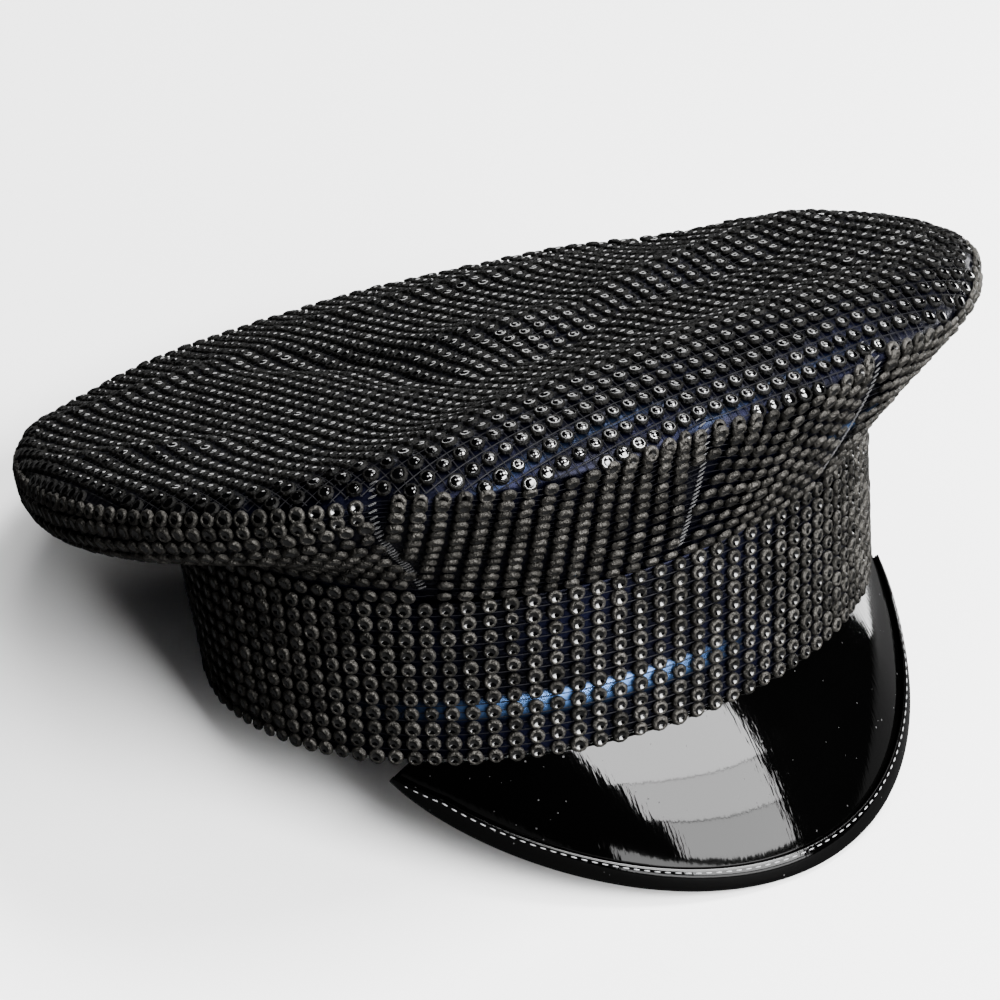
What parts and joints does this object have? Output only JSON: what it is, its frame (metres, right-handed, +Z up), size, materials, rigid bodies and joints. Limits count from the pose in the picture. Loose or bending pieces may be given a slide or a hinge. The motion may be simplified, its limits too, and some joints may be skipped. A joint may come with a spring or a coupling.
{
  "type": "peaked cap",
  "caption": "Peaked cap with a wide tilted crown and upright band covered in black stones over navy satin, and a steep glossy peak with a bound edge.",
  "frame": {"origin": "centre of the resting cap's bounding box, on the surface that it rests on", "axes": "+Z up, -Y to the front of the cap where the peak is, +X to the wearer's left; the cap rests tipped back on the edge of its peak and the back of its band"},
  "size_m": [0.2806, 0.2796, 0.1458],
  "materials": {
    "stone_mesh": "mesh of small jet black stones with thin metallic rims",
    "navy_satin": "soft sheen navy satin",
    "patent_leather": "mirror gloss black patent leather with a fine grain"
  },
  "bodies": {
    "root": {"crown_satin": "navy_satin", "crown_top_stones": "stone_mesh", "side_panel_right": "stone_mesh", "front_panel_right": "stone_mesh", "front_panel_centre": "stone_mesh", "front_panel_left": "stone_mesh", "side_panel_left": "stone_mesh", "band_satin": "navy_satin", "band_stones": "stone_mesh", "peak": "patent_leather", "peak_binding": "patent_leather"}
  },
  "joints": []
}
